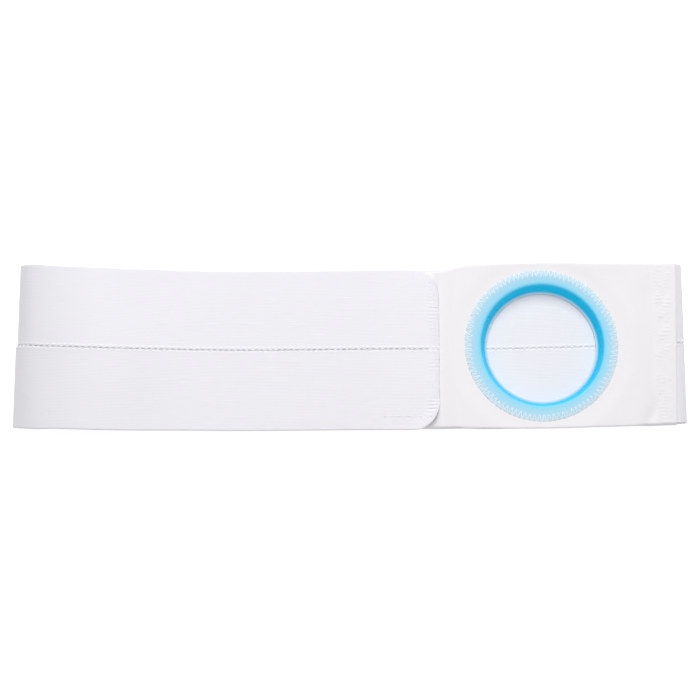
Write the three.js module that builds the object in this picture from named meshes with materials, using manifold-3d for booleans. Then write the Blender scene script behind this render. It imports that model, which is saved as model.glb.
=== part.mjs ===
// Ostomy support belt, fastened into a loop and laid flat on a table.
// Millimetres. X runs along the belt, Y across it, Z is up, and the back of the loop lies on z = 0.
import * as THREE from "three";
import { mergeVertices } from "three/addons/utils/BufferGeometryUtils.js";
import Module from "manifold-3d";

// Band and cloth
const BAND_WIDTH = 101.6;
const SEAM_GAP = 1.0;
const LEFT_END = 210.5;
const RIGHT_END = 210.2;
const ELASTIC = 1.6;
const PANEL = 1.8;
const PATCH = 1.4;
const GAP = 0.3;
const BACK_Z = ELASTIC / 2;

// Left fold: the open end of the loop. The webbing leaves it rising, and is a little wider there.
// The upper strip's fold lies a little further in. The lower strip sags towards its outer edge.
const LEFT_RADIUS = 6.2;
const FOLD_RISE = THREE.MathUtils.degToRad(48);
const FOLD_FLARE = 0.8;
const FLARE_START = 178;
const FLARE_FULL = 200;
const UPPER_FOLD_INSET = 1.0;
const LOWER_SAG = 2.6;
const SAG_START_Z = 8;
const SAG_FULL_Z = 16;
const LEFT_FOLD_X = -LEFT_END + ELASTIC / 2 + LEFT_RADIUS;
const FOLD_END_X = LEFT_FOLD_X - LEFT_RADIUS * Math.sin(FOLD_RISE);
const FOLD_END_Z = BACK_Z + LEFT_RADIUS + LEFT_RADIUS * Math.cos(FOLD_RISE);

// Right fold: the elastic's other end slopes up from a tight fold and is sewn under the panel's end
const TAIL_START = 190.5;
const PANEL_END_Z = 9.2;
const TAIL_Z = PANEL_END_Z - PANEL / 2 - GAP - ELASTIC / 2;
const RIGHT_RADIUS = 1.7;
const RIGHT_SLOPE = THREE.MathUtils.degToRad(35);
const RIGHT_FOLD_X = RIGHT_END - ELASTIC / 2 - RIGHT_RADIUS;
const SLOPE_END_X = RIGHT_FOLD_X + RIGHT_RADIUS * Math.sin(RIGHT_SLOPE);
const SLOPE_END_Z = BACK_Z + RIGHT_RADIUS + RIGHT_RADIUS * Math.cos(RIGHT_SLOPE);
const TAIL_ROWS = [
  { x: 190, z: TAIL_Z },
  { x: 201, z: TAIL_Z },
  { x: 203.6, z: TAIL_Z - 0.25 },
  { x: SLOPE_END_X - 2, z: SLOPE_END_Z + 2 * Math.tan(RIGHT_SLOPE) },
  { x: SLOPE_END_X, z: SLOPE_END_Z },
];

// Free end of the elastic, with rounded outer corners, and the hook patch below it.
// The patch's corners are rounded too, so that the elastic hides it.
const FREE_END = 55.3;
const FREE_CORNER = 16;
const FREE_CORNER_DEPTH = 19;
const PATCH_START = 20;
const PATCH_END = 52;
const PATCH_INSET = 1;
const PATCH_CORNER = 11;
const LAP_Z = 10.6;

// The back of the loop: how far the belt's middle line bows across the table
const BACK_ROWS = [
  { x: -215, y: 4.6 },
  { x: -205, y: 4.0 },
  { x: -182, y: 2.9 },
  { x: -157, y: 2.1 },
  { x: -118, y: 1.5 },
  { x: -75, y: 1.1 },
  { x: -20, y: 1.3 },
  { x: 40, y: 2.0 },
  { x: 64, y: 2.4 },
  { x: 85, y: 1.9 },
  { x: 158, y: 3.6 },
  { x: 215, y: 5.5 },
];

// The front of the loop: height of the webbing's middle, and bow of the belt's middle line
const FRONT_ROWS = [
  { x: FOLD_END_X, z: FOLD_END_Z, y: 2.4 },
  { x: -205, z: 14.4, y: 1.95 },
  { x: -202, z: 17.0, y: 1.6 },
  { x: -198, z: 19.0, y: 1.2 },
  { x: -192, z: 20.9, y: 0.6 },
  { x: -183, z: 22.5, y: 0.1 },
  { x: -170.5, z: 23.2, y: -0.35 },
  { x: -157, z: 21.9, y: -0.65 },
  { x: -144, z: 18.9, y: -0.55 },
  { x: -132, z: 15.6, y: -0.3 },
  { x: -118, z: 12.2, y: -0.05 },
  { x: -105, z: 9.8, y: 0.05 },
  { x: -88, z: 7.9, y: 0.05 },
  { x: -70, z: 7.2, y: 0.0 },
  { x: -20, z: 7.3, y: 0.35 },
  { x: 8, z: 9.4, y: 0.35 },
  { x: 20, z: LAP_Z, y: 0.25 },
  { x: 60, z: LAP_Z, y: 0.3 },
];

// The panel: its far and near edges, and the height of its middle
const LAP_PANEL_Z = LAP_Z - ELASTIC / 2 - GAP - PATCH - GAP - PANEL / 2;
const PANEL_EDGES = [
  { x: 12, far: 49.6, near: -49.2 },
  { x: 48, far: 50.2, near: -49.4 },
  { x: 58, far: 50.6, near: -49.6 },
  { x: 69, far: 53.4, near: -49.6 },
  { x: 81, far: 54.6, near: -49.6 },
  { x: 120, far: 55.9, near: -49.5 },
  { x: 157, far: 55.5, near: -48.6 },
  { x: 183, far: 55.4, near: -47.8 },
  { x: 204, far: 55.7, near: -47.2 },
];
const PANEL_HEIGHTS = [
  { x: 12, z: LAP_PANEL_Z },
  { x: 48, z: LAP_PANEL_Z },
  { x: PATCH_END, z: LAP_PANEL_Z },
  { x: FREE_END, z: LAP_PANEL_Z + 1.55 },
  { x: 58, z: LAP_PANEL_Z + 1.85 },
  { x: 64, z: PANEL_END_Z - 0.25 },
  { x: 70, z: PANEL_END_Z - 0.05 },
  { x: 80, z: PANEL_END_Z },
  { x: 204, z: PANEL_END_Z },
];
const PANEL_START = 12;
const PANEL_END = 204;
const PANEL_END_SKEW = 1.5;
const PANEL_COLUMNS = 16;
const PANEL_FINE_END = 86;

// Soft dents in the panel: middle, direction, size and depth
const DENTS = [
  { x: 186, y: -42, turn: 70, length: 8, width: 3.0, depth: 0.8 },
];

// Stoma ring: flange on the panel, bell mouth, and a collar that narrows down to a thin inward lip.
// The panel rises to the flange all round it, and the mouth and collar lean a little.
const RING_X = 119.1;
const RING_Y = 2.85;
const FLANGE_RADIUS = 48.1;
const FLANGE = 0.8;
const FLANGE_Z = PANEL_END_Z + PANEL / 2 + GAP;
const RING_RISE = 8;
const MOUTH_RADIUS = 37.8;
const MOUTH_WIDTH = 2.6;
const MOUTH_DEPTH = 2.6;
const MOUTH_LEAN = { x: 0.8, y: 0.35 };
const COLLAR_WALL = 1.6;
const COLLAR_BOTTOM = 2.0;
const COLLAR_RADIUS = 36.2;
const LIP_RADIUS = 34.4;
const LIP = 0.9;
const COLLAR_LEAN = { x: 0.2, y: -0.65 };
const EDGE_ROUND = 0.4;
const PANEL_HOLE = 42.2;
const RING_SEGMENTS = 96;
const MOUTH_STEPS = 5;

// A smooth curve through one column of a table
function along(rows, column, x) {
  let k = 0;
  while (k < rows.length - 2 && x > rows[k + 1].x) {
    k += 1;
  }
  const a = rows[Math.max(k - 1, 0)];
  const b = rows[k];
  const c = rows[k + 1];
  const d = rows[Math.min(k + 2, rows.length - 1)];
  const span = c.x - b.x;
  const t = THREE.MathUtils.clamp((x - b.x) / span, 0, 1);
  const slopeB = (c[column] - a[column]) / (c.x - a.x);
  const slopeC = (d[column] - b[column]) / (d.x - b.x);
  const h00 = (1 + 2 * t) * (1 - t) * (1 - t);
  const h10 = t * (1 - t) * (1 - t);
  const h01 = t * t * (3 - 2 * t);
  const h11 = t * t * (t - 1);
  return h00 * b[column] + h10 * span * slopeB + h01 * c[column] + h11 * span * slopeC;
}

// Evenly spaced numbers, both ends included
function steps(from, to, count) {
  return Array.from({ length: count + 1 }, (_, i) => from + ((to - from) * i) / count);
}

// A closed sheet: point(i, j, side) gives a corner of its upper (1) or lower (-1) skin
function sheet(countI, countJ, point) {
  const corners = [];
  const faces = [];
  const layer = (countI + 1) * (countJ + 1);
  for (const side of [1, -1]) {
    for (let i = 0; i <= countI; i += 1) {
      for (let j = 0; j <= countJ; j += 1) {
        corners.push(...point(i, j, side));
      }
    }
  }
  const at = (i, j, side) => i * (countJ + 1) + j + (side > 0 ? 0 : layer);
  const quad = (a, b, c, d) => faces.push(a, b, c, a, c, d);
  for (let i = 0; i < countI; i += 1) {
    for (let j = 0; j < countJ; j += 1) {
      quad(at(i, j, 1), at(i + 1, j, 1), at(i + 1, j + 1, 1), at(i, j + 1, 1));
      quad(at(i, j, -1), at(i, j + 1, -1), at(i + 1, j + 1, -1), at(i + 1, j, -1));
    }
  }
  for (let i = 0; i < countI; i += 1) {
    quad(at(i, 0, -1), at(i + 1, 0, -1), at(i + 1, 0, 1), at(i, 0, 1));
    quad(at(i, countJ, 1), at(i + 1, countJ, 1), at(i + 1, countJ, -1), at(i, countJ, -1));
  }
  for (let j = 0; j < countJ; j += 1) {
    quad(at(0, j, 1), at(0, j + 1, 1), at(0, j + 1, -1), at(0, j, -1));
    quad(at(countI, j, -1), at(countI, j + 1, -1), at(countI, j + 1, 1), at(countI, j, 1));
  }
  const geometry = new THREE.BufferGeometry();
  geometry.setAttribute("position", new THREE.Float32BufferAttribute(corners, 3));
  geometry.setIndex(faces);
  return geometry;
}

// How far a rounded corner, this long and deep, draws an edge in at a distance from the end
function cornerInset(distance, length, depth) {
  const left = THREE.MathUtils.clamp(1 - distance / length, 0, 1);
  return depth * (1 - Math.sqrt(1 - left * left));
}

// The middle line of one strip: sewn tail, right fold, back, left fold, front, free end
function loopLine(foldInset) {
  const line = [];
  const leftX = LEFT_FOLD_X + foldInset;
  const lowY = along(BACK_ROWS, "y", leftX);
  const highY = along(FRONT_ROWS, "y", FOLD_END_X);
  for (const x of steps(TAIL_START, SLOPE_END_X, 8)) {
    line.push({ x, z: along(TAIL_ROWS, "z", x), y: along(BACK_ROWS, "y", x) });
  }
  for (const angle of steps(Math.PI / 2 - RIGHT_SLOPE, -Math.PI / 2, 10).slice(1)) {
    const x = RIGHT_FOLD_X + RIGHT_RADIUS * Math.cos(angle);
    const z = BACK_Z + RIGHT_RADIUS + RIGHT_RADIUS * Math.sin(angle);
    line.push({ x, z, y: along(BACK_ROWS, "y", x) });
  }
  for (const x of steps(RIGHT_FOLD_X, leftX, 24).slice(1)) {
    line.push({ x, z: BACK_Z, y: along(BACK_ROWS, "y", x) });
  }
  for (const share of steps(0, 1, 16).slice(1)) {
    const angle = -Math.PI / 2 - (Math.PI - FOLD_RISE) * share;
    const x = leftX + LEFT_RADIUS * Math.cos(angle);
    const z = BACK_Z + LEFT_RADIUS + LEFT_RADIUS * Math.sin(angle);
    line.push({ x, z, y: lowY + (highY - lowY) * THREE.MathUtils.smoothstep(share, 0, 1) });
  }
  const startX = FOLD_END_X + foldInset;
  const cornerX = FREE_END - FREE_CORNER;
  const frontX = steps(startX, -110, 20).slice(1);
  frontX.push(...steps(-110, cornerX, 22).slice(1));
  for (const turn of steps(0, 90, 8).slice(1)) {
    frontX.push(cornerX + FREE_CORNER * Math.sin(THREE.MathUtils.degToRad(turn)));
  }
  for (const x of frontX) {
    const tableX = x - foldInset * (1 - THREE.MathUtils.smoothstep(x, startX, startX + 50));
    line.push({ x, z: along(FRONT_ROWS, "z", tableX), y: along(FRONT_ROWS, "y", tableX) });
  }
  return line;
}

// One strip of webbing, upper (1) or lower (-1)
function strip(which, foldInset) {
  const line = loopLine(foldInset);
  const last = line.length - 1;
  const columns = 3;
  const point = (i, j, side) => {
    const here = line[i];
    const before = line[Math.max(i - 1, 0)];
    const after = line[Math.min(i + 1, last)];
    const along2d = new THREE.Vector2(after.x - before.x, after.z - before.z).normalize();
    const front = i > last / 2;
    const inset = front ? cornerInset(FREE_END - here.x, FREE_CORNER, FREE_CORNER_DEPTH) : 0;
    const flare = FOLD_FLARE * THREE.MathUtils.smoothstep(-here.x, FLARE_START, FLARE_FULL);
    const inner = (which * SEAM_GAP) / 2;
    const outer = which * (BAND_WIDTH / 2 + flare - inset);
    const low = Math.min(inner, outer);
    const high = Math.max(inner, outer);
    const y = here.y + low + ((high - low) * j) / columns;
    const raised = which < 0 && here.x < 0 ? THREE.MathUtils.smoothstep(here.z, SAG_START_Z, SAG_FULL_Z) : 0;
    const sag = (LOWER_SAG * raised * (y - here.y)) / outer;
    const off = (side * ELASTIC) / 2;
    return [here.x - along2d.y * off, y, here.z + along2d.x * off - sag];
  };
  return sheet(last, columns, point);
}

// Depth of the soft dents at a place on the panel
function dentDepth(x, y) {
  let depth = 0;
  for (const dent of DENTS) {
    const turn = THREE.MathUtils.degToRad(dent.turn);
    const dx = x - dent.x;
    const dy = y - dent.y;
    const u = (dx * Math.cos(turn) + dy * Math.sin(turn)) / dent.length;
    const v = (dy * Math.cos(turn) - dx * Math.sin(turn)) / dent.width;
    depth += dent.depth * Math.exp(-u * u - v * v);
  }
  return depth;
}

// Height of the panel's middle: its table, the rise to the ring and the dents
function panelHeight(x, y) {
  const level = along(PANEL_HEIGHTS, "z", x);
  const away = Math.hypot(x - RING_X, y - RING_Y);
  const risen = 1 - THREE.MathUtils.smoothstep(away, FLANGE_RADIUS + 1, FLANGE_RADIUS + RING_RISE);
  return level + (PANEL_END_Z - level) * risen - dentDepth(x, y);
}

// The panel's cloth before its hole is cut
function panelCloth() {
  const xs = steps(PANEL_START, PATCH_END, 7);
  xs.push(...steps(PATCH_END, PANEL_FINE_END, 15).slice(1));
  xs.push(...steps(PANEL_FINE_END, PANEL_END, 26).slice(1));
  const point = (i, j, side) => {
    const x = xs[i];
    const near = along(PANEL_EDGES, "near", x);
    const far = along(PANEL_EDGES, "far", x);
    const share = j / PANEL_COLUMNS;
    const y = near + (far - near) * share;
    const ending = Math.max((x - TAIL_START) / (PANEL_END - TAIL_START), 0);
    const skewed = x + PANEL_END_SKEW * (2 * share - 1) * ending;
    return [skewed, y, panelHeight(x, y) + (side * PANEL) / 2];
  };
  return sheet(xs.length - 1, PANEL_COLUMNS, point);
}

// The hook patch, parallel to the webbing above it
function patchCloth() {
  const cornerX = PATCH_END - PATCH_CORNER;
  const xs = [PATCH_START];
  for (const turn of steps(0, 90, 6)) {
    xs.push(cornerX + PATCH_CORNER * Math.sin(THREE.MathUtils.degToRad(turn)));
  }
  const columns = 2;
  const z = LAP_Z - ELASTIC / 2 - GAP - PATCH / 2;
  const point = (i, j, side) => {
    const inset = PATCH_INSET + cornerInset(PATCH_END - xs[i], PATCH_CORNER, PATCH_CORNER);
    const half = BAND_WIDTH / 2 - inset;
    const y = along(FRONT_ROWS, "y", xs[i]) - half + (2 * half * j) / columns;
    return [xs[i], y, z + (side * PATCH) / 2];
  };
  return sheet(xs.length - 1, columns, point);
}

// The ring's section: flange, down the round mouth and the inside of the collar, round its lip, and up
// its outside
function ringGeometry() {
  const top = FLANGE_Z + FLANGE;
  const outside = COLLAR_RADIUS + COLLAR_WALL;
  const wallTop = top - MOUTH_DEPTH;
  const lipTop = COLLAR_BOTTOM + LIP;
  const section = [];
  const corner = (r, z) => section.push(new THREE.Vector2(r, z));
  corner(FLANGE_RADIUS, FLANGE_Z);
  corner(FLANGE_RADIUS, top - EDGE_ROUND);
  corner(FLANGE_RADIUS - EDGE_ROUND, top);
  for (const turn of steps(0, 90, MOUTH_STEPS)) {
    const angle = THREE.MathUtils.degToRad(turn);
    const r = MOUTH_RADIUS + MOUTH_WIDTH * (1 - Math.sin(angle));
    corner(r, top - MOUTH_DEPTH * (1 - Math.cos(angle)));
  }
  corner(COLLAR_RADIUS, lipTop + EDGE_ROUND);
  corner(COLLAR_RADIUS - EDGE_ROUND, lipTop);
  corner(LIP_RADIUS + EDGE_ROUND, lipTop);
  corner(LIP_RADIUS, COLLAR_BOTTOM + LIP / 2);
  corner(LIP_RADIUS + EDGE_ROUND, COLLAR_BOTTOM);
  corner(outside - EDGE_ROUND, COLLAR_BOTTOM);
  corner(outside, COLLAR_BOTTOM + EDGE_ROUND);
  corner(MOUTH_RADIUS + COLLAR_WALL, wallTop);
  corner(MOUTH_RADIUS + MOUTH_WIDTH + 0.6, FLANGE_Z);
  section.push(section[0].clone());
  const geometry = new THREE.LatheGeometry(section, RING_SEGMENTS);
  geometry.rotateX(Math.PI / 2);
  const place = geometry.attributes.position;
  for (let i = 0; i < place.count; i += 1) {
    const away = Math.hypot(place.getX(i), place.getY(i));
    const inward = THREE.MathUtils.clamp((FLANGE_RADIUS - away) / (FLANGE_RADIUS - MOUTH_RADIUS), 0, 1);
    const depth = THREE.MathUtils.clamp((wallTop - place.getZ(i)) / (wallTop - COLLAR_BOTTOM), 0, 1);
    place.setX(i, place.getX(i) + MOUTH_LEAN.x * inward + COLLAR_LEAN.x * depth);
    place.setY(i, place.getY(i) + MOUTH_LEAN.y * inward + COLLAR_LEAN.y * depth);
  }
  geometry.translate(RING_X, RING_Y, 0);
  return geometry;
}

// Shared corners, as closed solids need
function welded(geometry) {
  const plain = geometry.clone();
  for (const name of Object.keys(plain.attributes)) {
    if (name !== "position") {
      plain.deleteAttribute(name);
    }
  }
  return mergeVertices(plain, 1e-3);
}

// Takes one solid out of another
const wasm = await Module();
wasm.setup();

function solidOf(geometry) {
  const shared = welded(geometry);
  const vertProperties = new Float32Array(shared.attributes.position.array);
  const triVerts = new Uint32Array(shared.index.array);
  return new wasm.Manifold(new wasm.Mesh({ numProp: 3, vertProperties, triVerts }));
}

function cut(geometry, tool) {
  const mesh = solidOf(geometry).subtract(solidOf(tool)).getMesh();
  const result = new THREE.BufferGeometry();
  result.setAttribute("position", new THREE.Float32BufferAttribute(mesh.vertProperties, 3));
  result.setIndex(Array.from(mesh.triVerts));
  return result;
}

function panelGeometry() {
  const hole = new THREE.CylinderGeometry(PANEL_HOLE, PANEL_HOLE, 40, RING_SEGMENTS);
  hole.rotateX(Math.PI / 2);
  hole.translate(RING_X, RING_Y, PANEL_END_Z);
  return cut(panelCloth(), hole);
}

// Materials and named pieces
const webbing = new THREE.MeshStandardMaterial({ color: 0xececf2, roughness: 0.85 });
const cloth = new THREE.MeshStandardMaterial({ color: 0xf0eef2, roughness: 0.9 });
const bluePlastic = new THREE.MeshStandardMaterial({ color: 0x6cc8f0, roughness: 0.35 });
const hookTape = new THREE.MeshStandardMaterial({ color: 0xe6e6ea, roughness: 0.7 });

const belt = new THREE.Group();

function add(name, geometry, material) {
  const mesh = new THREE.Mesh(welded(geometry), material);
  mesh.name = name;
  belt.add(mesh);
}

add("elastic_upper", strip(1, UPPER_FOLD_INSET), webbing);
add("elastic_lower", strip(-1, 0), webbing);
add("ring_panel", panelGeometry(), cloth);
add("stoma_ring", ringGeometry(), bluePlastic);
add("hook_patch", patchCloth(), hookTape);

// The box of the whole belt is centred over the origin
const middle = new THREE.Box3().setFromObject(belt).getCenter(new THREE.Vector3());
belt.position.set(-middle.x, -middle.y, 0);

const group = new THREE.Group();
group.add(belt);

export default group;
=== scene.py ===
"""Looks of the ostomy support belt: ribbed elastic, cloth panel, plastic ring, stitching and stage."""
import math
import random

import bmesh
import bpy
import numpy as np
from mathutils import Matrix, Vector, noise


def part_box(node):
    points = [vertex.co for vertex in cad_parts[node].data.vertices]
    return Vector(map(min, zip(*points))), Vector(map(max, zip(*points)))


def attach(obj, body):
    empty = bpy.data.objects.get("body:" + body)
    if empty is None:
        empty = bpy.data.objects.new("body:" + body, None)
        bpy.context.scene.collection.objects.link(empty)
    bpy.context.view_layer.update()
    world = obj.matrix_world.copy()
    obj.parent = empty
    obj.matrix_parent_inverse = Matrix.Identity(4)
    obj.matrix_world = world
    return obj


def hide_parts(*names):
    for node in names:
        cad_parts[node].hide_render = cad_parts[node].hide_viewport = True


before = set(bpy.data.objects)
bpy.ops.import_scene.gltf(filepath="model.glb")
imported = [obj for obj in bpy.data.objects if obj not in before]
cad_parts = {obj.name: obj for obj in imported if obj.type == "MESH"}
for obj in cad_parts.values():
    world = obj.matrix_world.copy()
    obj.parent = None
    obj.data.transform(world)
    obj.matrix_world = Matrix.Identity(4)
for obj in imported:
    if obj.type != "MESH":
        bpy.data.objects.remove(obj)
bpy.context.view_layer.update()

# Sizes of the part's source, in millimetres of the belt, before its box was centred on the origin
MM = 0.001
BAND_WIDTH = 101.6
HALF_BAND = BAND_WIDTH / 2
LEFT_END = 210.5
RIGHT_END = 210.2
ELASTIC = 1.6
PANEL = 1.8
PATCH = 1.4
GAP = 0.3
BACK_Z = ELASTIC / 2
LEFT_RADIUS = 6.2
FOLD_RISE = math.radians(48)
FOLD_FLARE = 0.8
FLARE_START = 178.0
FLARE_WIDTH = 22.0
UPPER_FOLD_INSET = 1.0
LOWER_SAG = 2.6
SAG_START_Z = 8.0
SAG_RISE = 8.0
LEFT_FOLD_X = -LEFT_END + ELASTIC / 2 + LEFT_RADIUS
FOLD_END_X = LEFT_FOLD_X - LEFT_RADIUS * math.sin(FOLD_RISE)
FOLD_END_Z = BACK_Z + LEFT_RADIUS + LEFT_RADIUS * math.cos(FOLD_RISE)
TAIL_START = 190.5
PANEL_END_Z = 9.2
TAIL_Z = PANEL_END_Z - PANEL / 2 - GAP - ELASTIC / 2
RIGHT_RADIUS = 1.7
RIGHT_SLOPE = math.radians(35)
RIGHT_FOLD_X = RIGHT_END - ELASTIC / 2 - RIGHT_RADIUS
SLOPE_END_X = RIGHT_FOLD_X + RIGHT_RADIUS * math.sin(RIGHT_SLOPE)
SLOPE_END_Z = BACK_Z + RIGHT_RADIUS + RIGHT_RADIUS * math.cos(RIGHT_SLOPE)
FREE_END = 55.3
FREE_CORNER = 16.0
FREE_CORNER_DEPTH = 19.0
CORNER_ARC = math.pi / 2 * math.hypot(FREE_CORNER, FREE_CORNER_DEPTH) / math.sqrt(2)
PATCH_START = 20.0
PATCH_END = 52.0
PATCH_INSET = 1.0
PATCH_CORNER = 11.0
LAP_Z = 10.6
LAP_PANEL_Z = LAP_Z - ELASTIC / 2 - GAP - PATCH - GAP - PANEL / 2
PANEL_START = 12.0
PANEL_END = 204.0
PANEL_END_SKEW = 1.5
PANEL_HOLE = 42.2
RING_X = 119.1
RING_Y = 2.85
FLANGE_RADIUS = 48.1
FLANGE = 0.8
FLANGE_Z = PANEL_END_Z + PANEL / 2 + GAP
FLANGE_TOP = FLANGE_Z + FLANGE - GAP
RING_RISE = 8.0
MOUTH_RADIUS = 37.8
MOUTH_WIDTH = 2.6
MOUTH_DEPTH = 2.6
MOUTH_LEAN = (0.8, 0.35)
COLLAR_WALL = 1.6
COLLAR_BOTTOM = 2.0
COLLAR_RADIUS = 36.2
LIP_RADIUS = 34.4
LIP = 0.9
LIP_FILLET = 0.5
COLLAR_LEAN = (0.2, -0.65)

# The sewn tail: height of the webbing's middle, down to the right fold
TAIL_ROWS = [
    dict(x=190, z=TAIL_Z),
    dict(x=201, z=TAIL_Z),
    dict(x=203.6, z=TAIL_Z - 0.25),
    dict(x=SLOPE_END_X - 2, z=SLOPE_END_Z + 2 * math.tan(RIGHT_SLOPE)),
    dict(x=SLOPE_END_X, z=SLOPE_END_Z),
]

# The back of the loop: bow of the belt's middle line
BACK_ROWS = [
    dict(x=-215, y=4.6),
    dict(x=-205, y=4.0),
    dict(x=-182, y=2.9),
    dict(x=-157, y=2.1),
    dict(x=-118, y=1.5),
    dict(x=-75, y=1.1),
    dict(x=-20, y=1.3),
    dict(x=40, y=2.0),
    dict(x=64, y=2.4),
    dict(x=85, y=1.9),
    dict(x=158, y=3.6),
    dict(x=215, y=5.5),
]

# The front of the loop: height of the webbing's middle, and bow of the belt's middle line
FRONT_ROWS = [
    dict(x=FOLD_END_X, z=FOLD_END_Z, y=2.4),
    dict(x=-205, z=14.4, y=1.95),
    dict(x=-202, z=17.0, y=1.6),
    dict(x=-198, z=19.0, y=1.2),
    dict(x=-192, z=20.9, y=0.6),
    dict(x=-183, z=22.5, y=0.1),
    dict(x=-170.5, z=23.2, y=-0.35),
    dict(x=-157, z=21.9, y=-0.65),
    dict(x=-144, z=18.9, y=-0.55),
    dict(x=-132, z=15.6, y=-0.3),
    dict(x=-118, z=12.2, y=-0.05),
    dict(x=-105, z=9.8, y=0.05),
    dict(x=-88, z=7.9, y=0.05),
    dict(x=-70, z=7.2, y=0.0),
    dict(x=-20, z=7.3, y=0.35),
    dict(x=8, z=9.4, y=0.35),
    dict(x=20, z=LAP_Z, y=0.25),
    dict(x=60, z=LAP_Z, y=0.3),
]

# The panel: its far and near edges, and the height of its middle
PANEL_EDGES = [
    dict(x=12, far=49.6, near=-49.2),
    dict(x=48, far=50.2, near=-49.4),
    dict(x=58, far=50.6, near=-49.6),
    dict(x=69, far=53.4, near=-49.6),
    dict(x=81, far=54.6, near=-49.6),
    dict(x=120, far=55.9, near=-49.5),
    dict(x=157, far=55.5, near=-48.6),
    dict(x=183, far=55.4, near=-47.8),
    dict(x=204, far=55.7, near=-47.2),
]
PANEL_HEIGHTS = [
    dict(x=12, z=LAP_PANEL_Z),
    dict(x=48, z=LAP_PANEL_Z),
    dict(x=PATCH_END, z=LAP_PANEL_Z),
    dict(x=FREE_END, z=LAP_PANEL_Z + 1.55),
    dict(x=58, z=LAP_PANEL_Z + 1.85),
    dict(x=64, z=PANEL_END_Z - 0.25),
    dict(x=70, z=PANEL_END_Z - 0.05),
    dict(x=80, z=PANEL_END_Z),
    dict(x=204, z=PANEL_END_Z),
]

# Soft dents in the panel: middle, direction, size and depth
DENTS = [
    dict(x=186, y=-42, turn=70, length=8, width=3.0, depth=0.8),
]

# Webbing detail: ribs, rounded edges, seam groove and selvage, and steps along the loop
RIB_PITCH = 0.9
RIB_HEIGHT = 0.036
RIB_FLAT = 0.4
RIB_SAMPLES = (0.0, 0.3, 0.7)
WEBBING_EDGE = 0.75
WEBBING_RIM = (0.0, 0.06, 0.2, 0.42)
RIM_CLEAR = 0.55
SEAM_HALF = 0.1
SEAM_EDGE = 1.0
SEAM_DIP = 0.5
SEAM_SWAY = 0.4
SEAM_DRIFT = 6.0
SEAM_CLOSED = 4.5
SELVAGE_PLACE = 1.25
SELVAGE_HEIGHT = 0.12
SELVAGE_WIDTH = 0.5
LOOP_STEPS = dict(tail=1.2, back=5.0, bulge=3.0, front=4.5, end=0.7)
BULGE_END = -150.0
FOLD_BLEND = 50.0

# Free end: corners bent along a slanting line, far down and near up, a drooping edge, and ripples
END_ZONE = 30.0
END_ROWS = (1.1, 0.75, 0.5, 0.3, 0.12, 0.0)
NO_END = 100.0
CORNER_SQUEEZE = 2.0
CORNER_BEND = 20.6
CORNER_SOFT = 2.0
FAR_CORNER_SLOPE = -0.03
NEAR_CORNER_SLOPE = 0.09
END_RIPPLE = 0.09
CORNER_RIPPLE = 0.09
CORNER_RIPPLE_FROM = (-30.0, 8.0)
END_EDGE = 0.3
END_DROOP = 1.2
END_DROOP_WIDTH = 5.0
END_PRESS = 0.3
END_THIN = 0.05

# Panel detail: grid, swell and dish round the ring, slack, puckers, turned edges and a crease.
# A pair is the place where something starts or stops and the width over which it does.
PANEL_STEP = 1.15
PANEL_LAP_END = 57
PANEL_LAP_STEP = 0.4
PANEL_SEWN_START = 187
PANEL_SEWN_STEP = 0.55
PANEL_COLUMNS = 138
PANEL_RIM = (0.0, 0.08, 0.3, 0.65)
PANEL_ROWS = (0.0, 0.1, 0.35, 0.7)
PANEL_EDGE = 1.1
PANEL_END_EDGE = 0.9
HOLE_SNAP = 0.9
FLANGE_SWELL = 0.3
SWELL_START = 1.3
SWELL_WIDTH = 1.6
PANEL_DISH = 0.9
DISH_WIDTH = 12.0
DISH_LEFT = (56.0, 10.0)
DISH_RIGHT = (190.0, 14.0)
SLACK = (
    dict(height=0.35, length=21, width=27, seed=3.1),
    dict(height=0.12, length=8, width=13, seed=8.7),
)
SLACK_CLEAR = 12.0
SLACK_LEFT = (58.0, 14.0)
SLACK_RIGHT = (186.0, 6.0)
PUCKER_LEFT = (189.0, 3.0)
PUCKER_RIGHT = (202.0, 2.0)
EDGE_TURN = 1.4
EDGE_TURN_WIDTH = 1.3
TURN_LEFT = (38.0, 8.0)
TURN_RIGHT = (74.0, 12.0)
TURN_SEWN = (176.0, 10.0)
CREASE = dict(x=189.5, y=-40, turn=78, length=9, width=1.9, depth=0.45)

# Ring detail: the flange's dish and sewn edge, and where parts of the section lie in the colour ramp
FLANGE_EDGE_DROP = 0.25
FLANGE_DISH = 0.3
STITCH_SEGMENTS = 6
STITCH_PULL = 0.3
STITCH_DROP = 0.06
DIMPLE = 0.12
DIMPLE_WIDTH = 0.6
TONE_MOUTH = 0.4
TONE_WALL = 0.6
TONE_DEEP = 0.62
TONE_FOOT = 0.9
TONE_FILLET = 0.94
TONE_SHELF = 0.97
TONE_LIP = 1.0
# Where the collar wall's painted glow rises and falls along the section
WALL_FROM = (0.42, 0.56)
WALL_TO = (0.9, 0.96)

# Hook patch detail: rows at its ends, columns at its edges as shares of its width, and rounded edges
PATCH_ROWS = (0.0, 0.1, 0.35, 0.8)
PATCH_RIM = (0.0, 0.002, 0.006)
PATCH_EDGE = 0.5

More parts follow.
